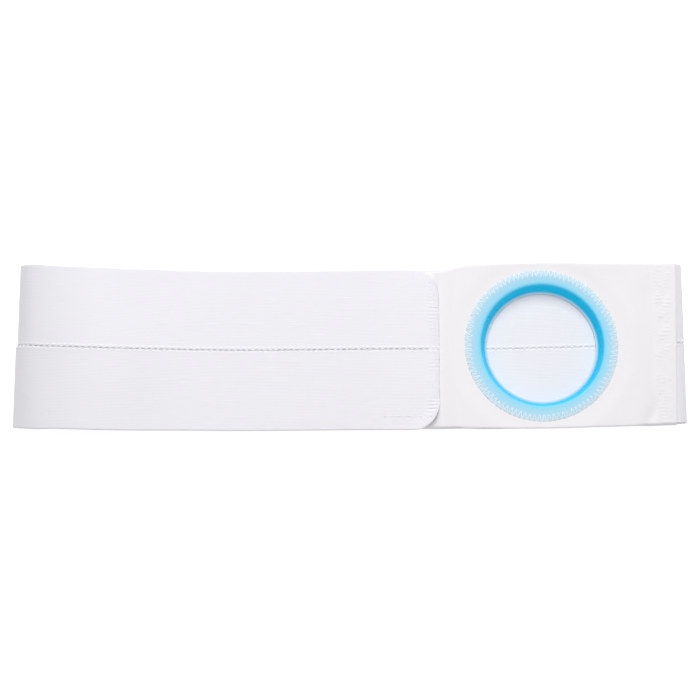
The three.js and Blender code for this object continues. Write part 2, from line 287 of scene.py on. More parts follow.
# Stitching: thread radius, pitch of a whole zigzag and its width, and shares of a stitch at its points
THREAD = 0.22
THIN_THREAD = THREAD * 0.8
END_THREAD = THREAD * 0.9
SEAM_PITCH = 3.7
SEAM_STITCH = (-1.3, 0.35)
OVERCAST_PITCH = 2.2
OVERCAST_WIDTH = 6.2
PATCH_STITCH_PITCH = 3.0
PATCH_STITCH_WIDTH = 0.8
PATCH_STITCH_INSET = 8.0
PANEL_STITCH_PITCH = 4.6
PANEL_STITCH_COLUMNS = ((191.6, 196.0), (196.8, 201.0))
PANEL_STITCH_X = 197
PANEL_STITCH_INSET = 1.5
RING_STITCHES = 95
RING_STITCH_INNER = 43.4
RING_STITCH_OUTER = 49.0
RING_STITCH_DIVE = ((0.45, 0.12), (0.2, 0.06))
STITCH_SHARES = (0.0, 0.08, 0.22, 0.5, 0.78, 0.92)
OVERCAST_SHARES = (0.0, 0.05, 0.15, 0.5, 0.85, 0.95, 1.0)
RING_SHARES = (0.0, 0.06, 0.2, 0.45, 0.62, 0.78, 0.9)
STITCH_FLATNESS = 6

# Patterns: pitch of picks, reach of a groove, scales per metre, ranges, and depth and strength of bumps
PICK_PITCH = 0.62
RIB_GROOVE = 0.22
STREAK_SCALE = (60.0, 1800.0)
MOTTLE_SCALE = 22.0
SEAM_SCALE = 90.0
NAP_SCALE = 2200.0
CLOUD_SCALE = 60.0
TWIST_SCALE = 1400.0
RING_CLOUD_SCALE = 160.0
RING_GRAIN_SCALE = 2600.0
HOOK_SCALE = 900.0
PALE_DASHES = (0.68, 0.76)
DARK_DASHES = (0.32, 0.24)
RING_CLOUDS = (0.3, 0.7)
WEBBING_BUMP = (0.00010, 0.5)
PANEL_BUMP = (0.00012, 0.5)
THREAD_BUMP = (0.00008, 0.6)
RING_BUMP = (0.00005, 0.25)
HOOK_BUMP = (0.0002, 0.6)

# The seam's line of painted shade for the gap between the strips, its pale cords, and where the painted
# shade fades at free end, tail and back
SEAM_OFFSET = 0.1
SEAM_LINE = (0.4, 0.9)
SEAM_PALE = (0.2, 0.5)
SEAM_END_FADE = (9.0, 5.0)
SEAM_TAIL_FADE = (24.0, 30.0)
SEAM_BACK_FADE = (0.55, 0.6)

# Colours
WEBBING_LIGHT = (0.775, 0.765, 0.805, 1)
WEBBING_DARK = (0.745, 0.735, 0.775, 1)
# Painted shade: a slightly darker tone in the rib grooves
WEBBING_GROOVE_SHADE = (0.742, 0.732, 0.772, 1)
DASH_LIGHT = (0.81, 0.80, 0.84, 1)
DASH_DARK = (0.715, 0.705, 0.745, 1)
# Painted shade: the tone of the shadow in the gap between the two strips at the seam
SEAM_SHADE_GREY = (0.66, 0.65, 0.70, 1)
SEAM_WHITE = (0.86, 0.86, 0.88, 1)
PANEL_LIGHT = (0.793, 0.779, 0.799, 1)
PANEL_DARK = (0.768, 0.754, 0.774, 1)
WHITE_THREAD = ((0.90, 0.90, 0.92, 1), (0.83, 0.83, 0.86, 1))
WEBBING_THREAD = ((0.79, 0.78, 0.82, 1), (0.73, 0.72, 0.76, 1))
PANEL_THREAD = ((0.80, 0.78, 0.80, 1), (0.72, 0.70, 0.73, 1))
RING_THREAD = ((0.88, 0.91, 0.93, 1), (0.76, 0.82, 0.86, 1))
RING_PALE = (0.50, 0.63, 0.68, 1)
RING_TONES = (
    (0.0, (0.58, 0.65, 0.69, 1)),
    (0.10, (0.48, 0.605, 0.69, 1)),
    (0.20, (0.40, 0.585, 0.70, 1)),
    (0.40, (0.30, 0.575, 0.715, 1)),
    (0.46, (0.22, 0.565, 0.74, 1)),
    (0.53, (0.03, 0.42, 0.64, 1)),
    (0.62, (0.001, 0.39, 0.61, 1)),
    (0.89, (0.001, 0.38, 0.59, 1)),
    (0.94, (0.20, 0.45, 0.63, 1)),
    (1.0, (0.52, 0.60, 0.67, 1)),
)
# Painted glow: light the ring gives off by itself, in place of light through the plastic, stronger on the
# collar's wall
FLANGE_PAINTED_GLOW = (0.0, 0.06, 0.095, 1)
WALL_PAINTED_GLOW = (0.0, 0.16, 0.28, 1)
HOOK_LIGHT = (0.84, 0.84, 0.85, 1)
HOOK_DARK = (0.72, 0.72, 0.73, 1)
FLOOR_COLOUR = (0.4, 0.4, 0.4, 1)

# Camera, fitted to the photo
CAMERA_ELEVATION = 80.5
CAMERA_DISTANCE = 900.0
CAMERA_TARGET = (-0.75, 1.53, 0.0)
CAMERA_LENS = 73.1
SENSOR_WIDTH = 36.0

# Light: a soft box overhead, a window light from the far side, and an even fill
WORLD_STRENGTH = 0.35
SOFTBOX = dict(power=5.1, size=0.8, place=(0.05, 0.05, 1.05))
WINDOW = dict(power=15.4, size=0.7, place=(0.05, 1.15, 1.15))
FLOOR_GLOW = 0.8
FLOOR_HALF = 4.0

random.seed(7)

# The belt's own origin in the row frame, found from the ring
ring_low, ring_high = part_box("stoma_ring")
ORIGIN = np.array([
    (ring_low[0] + ring_high[0]) / 2 - RING_X * MM,
    (ring_low[1] + ring_high[1]) / 2 - RING_Y * MM,
    0.0,
])


# Curves and tables


def along(rows, column, x):
    """A smooth curve through one column of a table."""
    k = 0
    while k < len(rows) - 2 and x > rows[k + 1]["x"]:
        k += 1
    a, b, c, d = rows[max(k - 1, 0)], rows[k], rows[k + 1], rows[min(k + 2, len(rows) - 1)]
    span = c["x"] - b["x"]
    t = min(max((x - b["x"]) / span, 0.0), 1.0)
    slope_b = (c[column] - a[column]) / (c["x"] - a["x"])
    slope_c = (d[column] - b[column]) / (d["x"] - b["x"])
    start = (1 + 2 * t) * (1 - t) ** 2 * b[column] + t * (1 - t) ** 2 * span * slope_b
    return start + t * t * (3 - 2 * t) * c[column] + t * t * (t - 1) * span * slope_c


def spaced(start, end, gap):
    """Evenly spaced numbers about one gap apart, both ends included."""
    return np.linspace(start, end, max(2, math.ceil(abs(end - start) / gap) + 1))


def smooth(value):
    """0 below 0, 1 above 1, and a soft step between."""
    t = min(max(value, 0.0), 1.0)
    return t * t * (3 - 2 * t)


def rise(x, start, width):
    """A soft step up that begins at a place."""
    return smooth((x - start) / width)


def fall(x, end, width):
    """A soft step down that is over at a place."""
    return smooth((end - x) / width)


def wobble(x, y, length, width, seed):
    """A smooth random height at a place, the same on each run."""
    return noise.noise(Vector((x / length, y / width, seed)))


def edge_round(distance, radius):
    """Share of its thickness that a rounded edge keeps at a distance from the edge."""
    t = np.clip(1 - np.asarray(distance) / radius, 0, 0.995)
    return np.sqrt(1 - t * t)


def corner_inset(distance, length, depth):
    """How far a rounded corner, this long and deep, draws an edge in at a distance from the end."""
    left = min(max(1 - distance / length, 0.0), 1.0)
    return depth * (1 - math.sqrt(1 - left * left))


# Meshes


def make_object(name, points, faces, uv, material):
    """A mesh object from points in millimetres of the belt, with its faces turned outwards."""
    mesh = bpy.data.meshes.new(name)
    placed = np.asarray(points, dtype=float) * MM + ORIGIN
    mesh.from_pydata(placed.tolist(), [], [list(map(int, face)) for face in faces])
    layer = mesh.uv_layers.new(name="Weave")
    flat = np.concatenate([np.asarray(face_uv, dtype=float).reshape(-1) for face_uv in uv])
    layer.data.foreach_set("uv", flat)
    work = bmesh.new()
    work.from_mesh(mesh)
    bmesh.ops.recalc_face_normals(work, faces=work.faces)
    work.to_mesh(mesh)
    work.free()
    mesh.polygons.foreach_set("use_smooth", [True] * len(mesh.polygons))
    made = bpy.data.objects.new(name, mesh)
    bpy.context.scene.collection.objects.link(made)
    mesh.materials.append(material)
    return made


def sheet_object(name, top, bottom, uv, keep, material):
    """A closed sheet from two grids of points; keep says which cells of the grid are cloth."""
    rows, columns = top.shape[:2]
    points = np.concatenate([top.reshape(-1, 3), bottom.reshape(-1, 3)])
    grid_uv = uv.reshape(-1, 2)
    below = rows * columns
    faces, face_uv = [], []

    def add(a, b, c, d):
        faces.append((a, b, c, d))
        face_uv.append(grid_uv[[a % below, b % below, c % below, d % below]])

    def at(i, j):
        return i * columns + j

    for i in range(rows - 1):
        for j in range(columns - 1):
            if not keep[i, j]:
                continue
            a, b, c, d = at(i, j), at(i + 1, j), at(i + 1, j + 1), at(i, j + 1)
            add(a, b, c, d)
            add(below + d, below + c, below + b, below + a)
            sides = (
                (i == 0 or not keep[i - 1, j], a, d),
                (i == rows - 2 or not keep[i + 1, j], c, b),
                (j == 0 or not keep[i, j - 1], b, a),
                (j == columns - 2 or not keep[i, j + 1], d, c),
            )
            for bare, first, second in sides:
                if bare:
                    add(first, second, below + second, below + first)
    return make_object(name, points, faces, face_uv, material)


def thread_object(name, lines, radius, material, sides=6):
    """Round threads along lines of points, as one mesh."""
    points, faces, face_uv = [], [], []
    turns = np.linspace(0, 2 * math.pi, sides, endpoint=False)
    for line in lines:
        line = np.asarray(line, dtype=float)
        first = len(points)
        steps = np.linalg.norm(np.diff(line, axis=0), axis=1)
        run = np.concatenate([[0], np.cumsum(steps)])
        tangents = np.gradient(line, axis=0)
        tangents /= np.linalg.norm(tangents, axis=1)[:, None]
        across = np.cross(tangents[0], (0.0, 0.0, 1.0))
        if np.linalg.norm(across) < 1e-6:
            across = np.array([1.0, 0.0, 0.0])
        for k, tangent in enumerate(tangents):
            across = across - tangent * np.dot(across, tangent)
            across /= np.linalg.norm(across)
            up = np.cross(tangent, across)
            ring = line[k] + radius * (np.cos(turns)[:, None] * across + np.sin(turns)[:, None] * up)
            points.extend(ring)
        for k in range(len(line) - 1):
            for j in range(sides):
                a = first + k * sides + j
                b = first + k * sides + (j + 1) % sides
                faces.append((a, b, b + sides, a + sides))
                u0, u1 = run[k] * MM, run[k + 1] * MM
                v0, v1 = j / sides, (j + 1) / sides
                face_uv.append([(u0, v0), (u0, v1), (u1, v1), (u1, v0)])
        last = first + (len(line) - 1) * sides
        faces.append([first + j for j in range(sides)])
        face_uv.append([(0, j / sides) for j in range(sides)])
        faces.append([last + j for j in range(sides)])
        face_uv.append([(run[-1] * MM, j / sides) for j in range(sides)])
    return make_object(name, points, faces, face_uv, material)


def zigzag(place, start, end, pitch, low, high, jitter=0.12, sink=0.3, proud=0.6, uneven=0.0):
    """Points of a zigzag thread; place(run, across, lift) gives a point over the cloth."""
    count = max(2, round(2 * abs(end - start) / pitch))
    corners = []
    for k, run in enumerate(np.linspace(start, end, count + 1)):
        side = low if k % 2 == 0 else high
        corners.append((run + random.uniform(-jitter, jitter), side + random.uniform(-jitter, jitter)))
    line = []
    for (run_a, across_a), (run_b, across_b) in zip(corners, corners[1:]):
        height = THREAD * proud + random.uniform(-uneven, uneven)
        for t in STITCH_SHARES:
            lift = height - (height + sink) * abs(2 * t - 1) ** STITCH_FLATNESS
            line.append(place(run_a + (run_b - run_a) * t, across_a + (across_b - across_a) * t, lift))
    line.append(place(corners[-1][0], corners[-1][1], -sink))
    return np.array(line)


# Materials


def node(tree, kind, inputs=None, **settings):
    """A shader node with its settings, and its inputs as links or values."""
    made = tree.nodes.new(kind)
    for key, value in settings.items():
        setattr(made, key, value)
    for key, value in (inputs or {}).items():
        if isinstance(value, bpy.types.NodeSocket):
            tree.links.new(value, made.inputs[key])
        else:
            made.inputs[key].default_value = value
    return made


def new_material(name, roughness, specular, sheen=0.0):
    """A material with its main shader; constants are set on the shader itself."""
    material = bpy.data.materials.new(name)
    material.use_nodes = True
    tree = material.node_tree
    shader = tree.nodes["Principled BSDF"]
    shader.inputs["Roughness"].default_value = roughness
    shader.inputs["Specular IOR Level"].default_value = specular
    shader.inputs["Sheen Weight"].default_value = sheen
    shader.inputs["Sheen Roughness"].default_value = 0.5
    return material, tree, shader


def math_node(tree, operation, first, second=0.0):
    """One step of arithmetic on one or two values."""
    return node(tree, "ShaderNodeMath", {0: first, 1: second}, operation=operation).outputs[0]


def times(tree, first, second):
    """Two values multiplied."""
    return math_node(tree, "MULTIPLY", first, second)


def bump(tree, shader, height, distance, strength):
    """Fine relief from a height."""
    made = node(tree, "ShaderNodeBump", {"Height": height, "Distance": distance, "Strength": strength})
    tree.links.new(made.outputs["Normal"], shader.inputs["Normal"])


def mix(tree, factor, first, second):
    """One colour blended into another by a factor."""
    made = node(tree, "ShaderNodeMix", {0: factor, 6: first, 7: second}, data_type="RGBA")
    return made.outputs[2]


def remap(tree, value, low, high, at_low=0.0, at_high=1.0):
    """A value carried from one range into another, and kept inside it."""
    made = node(tree, "ShaderNodeMapRange", {"Value": value, 1: low, 2: high, 3: at_low, 4: at_high})
    return made.outputs[0]


def weave_place(tree):
    """Place on a piece's own cloth or section."""
    return node(tree, "ShaderNodeUVMap", uv_map="Weave").outputs["UV"]


def noise_node(tree, place, scale, detail, roughness=0.5):
    """Smooth random values from a place."""
    inputs = {"Vector": place, "Scale": scale, "Detail": detail, "Roughness": roughness}
    return node(tree, "ShaderNodeTexNoise", inputs).outputs[0]


def webbing_material():
    """Lavender-white elastic: lengthwise ribs with painted shade in their grooves, sparse dashes, and a
    darker seam line of painted shade with pale edges.
    """
    material, tree, shader = new_material("webbing", roughness=0.6, specular=0.3, sheen=0.1)
    uv = weave_place(tree)
    parts = node(tree, "ShaderNodeSeparateXYZ", {0: uv})
    run, across = parts.outputs[0], parts.outputs[1]
    rib = math_node(tree, "PINGPONG", times(tree, across, 1 / (RIB_PITCH * MM)), 0.5)
    groove = remap(tree, rib, 0.0, RIB_GROOVE)
    picks = math_node(tree, "PINGPONG", times(tree, run, 1 / (PICK_PITCH * MM)), 0.5)
    stretched = node(tree, "ShaderNodeCombineXYZ", {
        0: times(tree, run, STREAK_SCALE[0]),
        1: times(tree, across, STREAK_SCALE[1]),
    })
    streaks = noise_node(tree, stretched.outputs[0], scale=1.0, detail=1.0)
    mottled = noise_node(tree, uv, MOTTLE_SCALE, detail=2.0)
    tone = mix(tree, mottled, WEBBING_DARK, WEBBING_LIGHT)
    # Painted shade: the rib grooves are drawn a little darker
    tone = mix(tree, groove, WEBBING_GROOVE_SHADE, tone)
    tone = mix(tree, remap(tree, streaks, *PALE_DASHES), tone, DASH_LIGHT)
    tone = mix(tree, remap(tree, streaks, *DARK_DASHES), tone, DASH_DARK)
    # Painted shade: a wavy darker line along the seam stands in for the shadow in the gap between the
    # strips, faded near the free end, the tail and on the back
    uneven = noise_node(tree, uv, SEAM_SCALE, detail=1.0)
    phase = times(tree, run, 2 * math.pi / (SEAM_PITCH * MM))
    phase = math_node(tree, "ADD", phase, times(tree, uneven, SEAM_DRIFT))
    wave = math_node(tree, "SINE", phase)
    swayed = math_node(tree, "ADD", across, times(tree, wave, SEAM_SWAY * MM))
    off_seam = math_node(tree, "ABSOLUTE", math_node(tree, "ADD", swayed, SEAM_OFFSET * MM))
    seam_shade = remap(tree, off_seam, SEAM_LINE[0] * MM, SEAM_LINE[1] * MM, 1.0, 0.0)
    seam_shade = times(tree, seam_shade, remap(tree, uneven, 0.35, 0.6, 0.5, 1.0))
    length = loop_line(0.0)[2][-1]
    for start, end, at_start, at_end in (
        (length - SEAM_END_FADE[0], length - SEAM_END_FADE[1], 1.0, 0.1),
        (SEAM_TAIL_FADE[0], SEAM_TAIL_FADE[1], 0.6, 1.0),
        (length * SEAM_BACK_FADE[0], length * SEAM_BACK_FADE[1], 0.65, 1.0),
    ):
        seam_shade = times(tree, seam_shade, remap(tree, run, start * MM, end * MM, at_start, at_end))
    tone = mix(tree, seam_shade, tone, SEAM_SHADE_GREY)
    off_cord = math_node(tree, "ABSOLUTE", math_node(tree, "SUBTRACT", off_seam, SELVAGE_PLACE * MM))
    pale = remap(tree, off_cord, SEAM_PALE[0] * MM, SEAM_PALE[1] * MM, 1.0, 0.0)
    pale = times(tree, pale, remap(tree, wave, -1.0, 0.6, 1.0, 0.4))
    tone = mix(tree, pale, tone, SEAM_WHITE)
    tree.links.new(tone, shader.inputs["Base Color"])
    weave = times(tree, picks, groove)
    height = math_node(tree, "ADD", weave, times(tree, streaks, 0.8))
    bump(tree, shader, height, *WEBBING_BUMP)
    return material


def panel_material():
    """Soft white brushed cloth with a fine nap."""
    material, tree, shader = new_material("panel_cloth", roughness=0.88, specular=0.15, sheen=0.2)
    uv = weave_place(tree)
    nap = noise_node(tree, uv, NAP_SCALE, detail=3.0, roughness=0.6)
    cloud = noise_node(tree, uv, CLOUD_SCALE, detail=2.0)
    tone = mix(tree, cloud, PANEL_DARK, PANEL_LIGHT)
    tone = mix(tree, nap, PANEL_DARK, tone)
    tree.links.new(tone, shader.inputs["Base Color"])
    height = math_node(tree, "ADD", nap, times(tree, cloud, 0.6))
    bump(tree, shader, height, *PANEL_BUMP)
    return material


def thread_material(name, light, dark):
    """Sewing thread with a twist."""
    material, tree, shader = new_material(name, roughness=0.6, specular=0.3, sheen=0.1)
    uv = weave_place(tree)
    parts = node(tree, "ShaderNodeSeparateXYZ", {0: uv})
    along_thread = times(tree, parts.outputs[0], TWIST_SCALE)
    twist = math_node(tree, "PINGPONG", math_node(tree, "ADD", along_thread, parts.outputs[1]), 0.5)
    tone = mix(tree, remap(tree, twist, 0.0, 0.2), dark, light)
    tree.links.new(tone, shader.inputs["Base Color"])
    bump(tree, shader, twist, *THREAD_BUMP)
    return material


def ring_material():
    """Light blue plastic: pale on the flange, deep on the collar's inside, with a painted glow, strongest
    on the collar's wall, in place of light shining through.
    """
    material, tree, shader = new_material("blue_plastic", roughness=0.42, specular=0.09)
    uv = weave_place(tree)
    section = node(tree, "ShaderNodeSeparateXYZ", {0: uv}).outputs[1]
    # Painted glow: emission over the whole ring, stronger on the collar's wall, stands in for light
    # shining through the plastic
    painted_glow = mix(tree, remap(tree, section, *WALL_FROM), FLANGE_PAINTED_GLOW, WALL_PAINTED_GLOW)
    painted_glow = mix(tree, remap(tree, section, *WALL_TO), painted_glow, FLANGE_PAINTED_GLOW)
    tree.links.new(painted_glow, shader.inputs["Emission Color"])
    shader.inputs["Emission Strength"].default_value = 1.0
    ramp = node(tree, "ShaderNodeValToRGB", {0: section})
    stops = ramp.color_ramp.elements
    for place, _ in RING_TONES[2:]:
        stops.new(place)
    for stop, (place, colour) in zip(stops, RING_TONES):
        stop.position = place
        stop.color = colour
    place = node(tree, "ShaderNodeTexCoord").outputs["Object"]
    cloud = noise_node(tree, place, RING_CLOUD_SCALE, detail=2.0)
    grain = noise_node(tree, place, RING_GRAIN_SCALE, detail=1.0)
    on_flange = remap(tree, section, 0.25, 0.45, 0.16, 0.0)
    faded = times(tree, remap(tree, cloud, *RING_CLOUDS), on_flange)
    tree.links.new(mix(tree, faded, ramp.outputs[0], RING_PALE), shader.inputs["Base Color"])
    on_wall = remap(tree, section, 0.4, 0.55, 0.0, 0.22)
    rough = math_node(tree, "SUBTRACT", remap(tree, cloud, *RING_CLOUDS, 0.42, 0.54), on_wall)
    tree.links.new(rough, shader.inputs["Roughness"])
    bump(tree, shader, grain, *RING_BUMP)
    return material


def hook_material():
    """Hook tape: a pale ground with rows of small dots."""
    material, tree, shader = new_material("hook_tape", roughness=0.7, specular=0.3)
    place = node(tree, "ShaderNodeTexCoord").outputs["Object"]
    dots = node(tree, "ShaderNodeTexVoronoi", {"Vector": place, "Scale": HOOK_SCALE, "Randomness": 0.2})
    shade = remap(tree, dots.outputs[0], 0.1, 0.5, 1.0, 0.0)
    tree.links.new(mix(tree, shade, HOOK_DARK, HOOK_LIGHT), shader.inputs["Base Color"])
    bump(tree, shader, shade, *HOOK_BUMP)
    return material


def floor_material():
    """A white floor with a glow of its own, to match the photo's ground."""
    material, _, shader = new_material("floor", roughness=0.9, specular=0.0)
    shader.inputs["Base Color"].default_value = FLOOR_COLOUR
    shader.inputs["Emission Color"].default_value = (1, 1, 1, 1)
    shader.inputs["Emission Strength"].default_value = FLOOR_GLOW
    return material


# The elastic strips


def loop_line(fold_inset):
    """The middle line of one strip, from the sewn tail round the loop to the free end."""
    fold_x = LEFT_FOLD_X + fold_inset
    low_y = along(BACK_ROWS, "y", fold_x)
    high_y = along(FRONT_ROWS, "y", FOLD_END_X)
    line = []
    for x in spaced(TAIL_START, SLOPE_END_X, LOOP_STEPS["tail"]):
        line.append((x, along(BACK_ROWS, "y", x), along(TAIL_ROWS, "z", x)))
    for turn in np.linspace(math.pi / 2 - RIGHT_SLOPE, -math.pi / 2, 19)[1:]:
        x = RIGHT_FOLD_X + RIGHT_RADIUS * math.cos(turn)
        line.append((x, along(BACK_ROWS, "y", x), BACK_Z + RIGHT_RADIUS + RIGHT_RADIUS * math.sin(turn)))
    for x in spaced(RIGHT_FOLD_X, fold_x, LOOP_STEPS["back"])[1:]:
        line.append((x, along(BACK_ROWS, "y", x), BACK_Z))
    for share in np.linspace(0, 1, 31)[1:]:
        turn = -math.pi / 2 - (math.pi - FOLD_RISE) * share
        z = BACK_Z + LEFT_RADIUS + LEFT_RADIUS * math.sin(turn)
        line.append((fold_x + LEFT_RADIUS * math.cos(turn), low_y + (high_y - low_y) * smooth(share), z))
    start_x = FOLD_END_X + fold_inset
    fine_x = FREE_END - FREE_CORNER - 2
    front = np.concatenate([
        spaced(start_x, BULGE_END, LOOP_STEPS["bulge"])[1:],
        spaced(BULGE_END, fine_x, LOOP_STEPS["front"])[1:],
        spaced(fine_x, FREE_END - 1.5, LOOP_STEPS["end"])[1:],
        FREE_END - np.array(END_ROWS),
    ])
    for x in front:
        table_x = x - fold_inset * (1 - rise(x, start_x, FOLD_BLEND))
        line.append((x, along(FRONT_ROWS, "y", table_x), along(FRONT_ROWS, "z", table_x)))
    line = np.array(line)
    tangents = np.gradient(line[:, [0, 2]], axis=0)
    tangents /= np.linalg.norm(tangents, axis=1)[:, None]
    steps = np.linalg.norm(np.diff(line[:, [0, 2]], axis=0), axis=1)
    run = np.concatenate([[0], np.cumsum(steps)])
    normals = np.stack([-tangents[:, 1], tangents[:, 0]], axis=1)
    return line, normals, run


def end_lift(x, lateral):
    """How far the free end is lifted: bent corners, a drooping edge, and ripples between the stitches."""
    slope = FAR_CORNER_SLOPE if lateral > 0 else NEAR_CORNER_SLOPE
    beyond = x - FREE_END + abs(lateral) - HALF_BAND + CORNER_BEND
    bend = slope * 0.5 * (beyond + math.hypot(beyond, CORNER_SOFT))
    sway = 2 * wobble(x, lateral, 6, 8, 4.2)
    most = END_RIPPLE + CORNER_RIPPLE * fall(lateral, *CORNER_RIPPLE_FROM)
    height = most * max(0.3 + 2.0 * wobble(x, lateral, 20, 9, 9.4), 0.0)
    ripple = height * math.sin(2 * math.pi * lateral / OVERCAST_PITCH + sway)
    droop = END_DROOP * max(1 - (FREE_END - x) / END_DROOP_WIDTH, 0.0) ** 2
    return bend - droop + ripple * smooth((x - FREE_END + OVERCAST_WIDTH + 3) / 4)


def strip_columns():
    """Places across one strip, from seam to outer edge: three to a rib, and closer at both edges."""
    inner = SEAM_HALF
    outer = HALF_BAND
    count = math.floor((outer - inner) / RIB_PITCH)
    ribs = inner + (np.arange(count)[:, None] + np.array(RIB_SAMPLES)).reshape(-1) * RIB_PITCH
    rim = np.array(WEBBING_RIM)
    inside = ribs[(ribs > inner + RIM_CLEAR) & (ribs < outer - RIM_CLEAR)]
    return np.concatenate([inner + rim, inside, (outer - rim)[::-1]])


def strip_object(name, which, fold_inset, material):
    """One strip of ribbed webbing, upper (1) or lower (-1)."""
    line, normals, run = loop_line(fold_inset)
    front = run > run[-1] / 2
    inner = SEAM_HALF
    outer = HALF_BAND
    across = strip_columns()
    groove = np.abs((across - inner) / RIB_PITCH % 1 - 0.5) * 2
    ribbed = RIB_HEIGHT * np.clip((groove - RIB_FLAT) / (1 - RIB_FLAT), 0, 1)
    selvage = SELVAGE_HEIGHT * np.exp(-(((across - inner - SELVAGE_PLACE) / SELVAGE_WIDTH) ** 2))
    top = np.zeros((len(line), len(across), 3))
    bottom = np.zeros_like(top)
    uv = np.zeros((len(line), len(across), 2))
    for i, (x, y, z) in enumerate(line):
        to_end = FREE_END - x if front[i] else NO_END
        wide = outer + FOLD_FLARE * fall(x, -FLARE_START, FLARE_WIDTH)
        open_seam = rise(to_end, SEAM_CLOSED, SEAM_CLOSED)
        half_gap = inner * max(open_seam, 0.1)
        lateral = half_gap + (across - inner) * (wide - half_gap) / (outer - inner)
        limit = wide - corner_inset(to_end, FREE_CORNER, FREE_CORNER_DEPTH)
        start = limit - CORNER_SQUEEZE
        if limit < wide:
            squeezed = start + (lateral - start) * CORNER_SQUEEZE / (wide - start)
            lateral = np.where(lateral > start, squeezed, lateral)
        thick = ELASTIC / 2 - ribbed + selvage
        thick = thick * edge_round(limit - lateral, WEBBING_EDGE) * edge_round(to_end, END_EDGE)
        thick = thick * (1 - open_seam * SEAM_DIP * (1 - edge_round(lateral - half_gap, SEAM_EDGE)))
        lift = np.zeros_like(lateral)
        if front[i] and x > FREE_END - END_ZONE:
            lift = np.array([end_lift(x, which * a) for a in lateral])
        elif which < 0 and x < 0:
            lift = -LOWER_SAG * rise(z, SAG_START_Z, SAG_RISE) * lateral / outer
        pressed = np.maximum(lift, -END_PRESS) if x > 0 else lift
        for grid, side, shift in ((top, 1, lift), (bottom, -1, pressed)):
            grid[i, :, 0] = x + normals[i, 0] * thick * side
            grid[i, :, 1] = y + which * lateral
            grid[i, :, 2] = np.maximum(z + normals[i, 1] * thick * side + shift, 0.0)
        if front[i] and x > 0:
            bottom[i, :, 2] = np.minimum(bottom[i, :, 2], top[i, :, 2] - END_THIN)
        uv[i, :, 0] = run[i] * MM
        uv[i, :, 1] = which * lateral * MM
    keep = np.ones((len(line) - 1, len(across) - 1), dtype=bool)
    return sheet_object(name, top, bottom, uv, keep, material)


def seam_lines():
    """Zigzag thread along the middle seam, on both faces of the webbing."""
    line, normals, run = loop_line(UPPER_FOLD_INSET / 2)

    def place(side):
        def at(s, across, lift):
            x, y, z = (np.interp(s, run, line[:, k]) for k in range(3))
            nx, nz = (np.interp(s, run, normals[:, k]) for k in range(2))
            off = side * (ELASTIC / 2 + lift)
            return (x + nx * off, y + across, max(z + nz * off, THREAD))
        return at

    end = run[-1] - SEAM_CLOSED
    return [
        zigzag(place(side), 1.0, end, SEAM_PITCH, *SEAM_STITCH, jitter=0.25, proud=0.3)
        for side in (1, -1)
    ]


def lap_top(x, lateral, lift):
    """A place over the elastic near its free end."""
    z = along(FRONT_ROWS, "z", x) + end_lift(x, lateral) + ELASTIC / 2 + lift
    return (x, along(FRONT_ROWS, "y", x) + lateral, z)


def free_edge(u):
    """The outline of the free end at a distance from its middle: place and inward direction."""
    straight = HALF_BAND - FREE_CORNER_DEPTH
    sign = 1 if u >= 0 else -1
    away = abs(u)
    if away <= straight:
        return FREE_END, u, (-1.0, 0.0)
    turn = min((away - straight) / CORNER_ARC, 1.0) * math.pi / 2
    x = FREE_END - FREE_CORNER + FREE_CORNER * math.cos(turn)
    y = straight + FREE_CORNER_DEPTH * math.sin(turn)
    return x, sign * y, (-math.cos(turn), -sign * math.sin(turn))


def overcast_lines():
    """Short straight stitches over the cut end of the elastic and round its corners."""
    reach = HALF_BAND - FREE_CORNER_DEPTH + CORNER_ARC
    lines = []
    for u in spaced(-reach, reach, OVERCAST_PITCH):
        x, y, (dx, dy) = free_edge(u + random.uniform(-0.3, 0.3))
        slant = random.uniform(-0.5, 0.5)
        length = OVERCAST_WIDTH + random.uniform(-0.7, 0.5)
        proud = random.uniform(-0.2, -0.04)
        line = []
        for share in OVERCAST_SHARES:
            inward = length * share
            lift = proud - (THREAD + proud) * abs(2 * share - 1) ** STITCH_FLATNESS
            aside = slant * share
            line.append(lap_top(x + dx * inward - dy * aside, y + dy * inward + dx * aside, lift))
        lines.append(np.array(line))
    return lines


def patch_stitch_lines():
    """Zigzag along the hook patch's long edges, drawn deeper into the webbing on the far side."""
    lines = []
    edge = HALF_BAND - PATCH_STITCH_INSET
    for sign, proud in ((1, -0.7), (-1, 0.3)):
        def at(x, across, lift, sign=sign):
            return lap_top(x, sign * across, lift)

        lines.append(zigzag(at, PATCH_START, FREE_END - 5, PATCH_STITCH_PITCH,
                            edge - PATCH_STITCH_WIDTH, edge, proud=proud, uneven=0.2))
    return lines


# The ring panel


def ring_distance(x, y):
    """How far a place is from the ring's middle."""
    return math.hypot(x - RING_X, y - RING_Y)


def dent_depth(dent, x, y):
    """Depth of one dent at a place on the panel."""
    turn = math.radians(dent["turn"])
    dx, dy = x - dent["x"], y - dent["y"]
    u = (dx * math.cos(turn) + dy * math.sin(turn)) / dent["length"]
    v = (dy * math.cos(turn) - dx * math.sin(turn)) / dent["width"]
    return dent["depth"] * math.exp(-u * u - v * v)


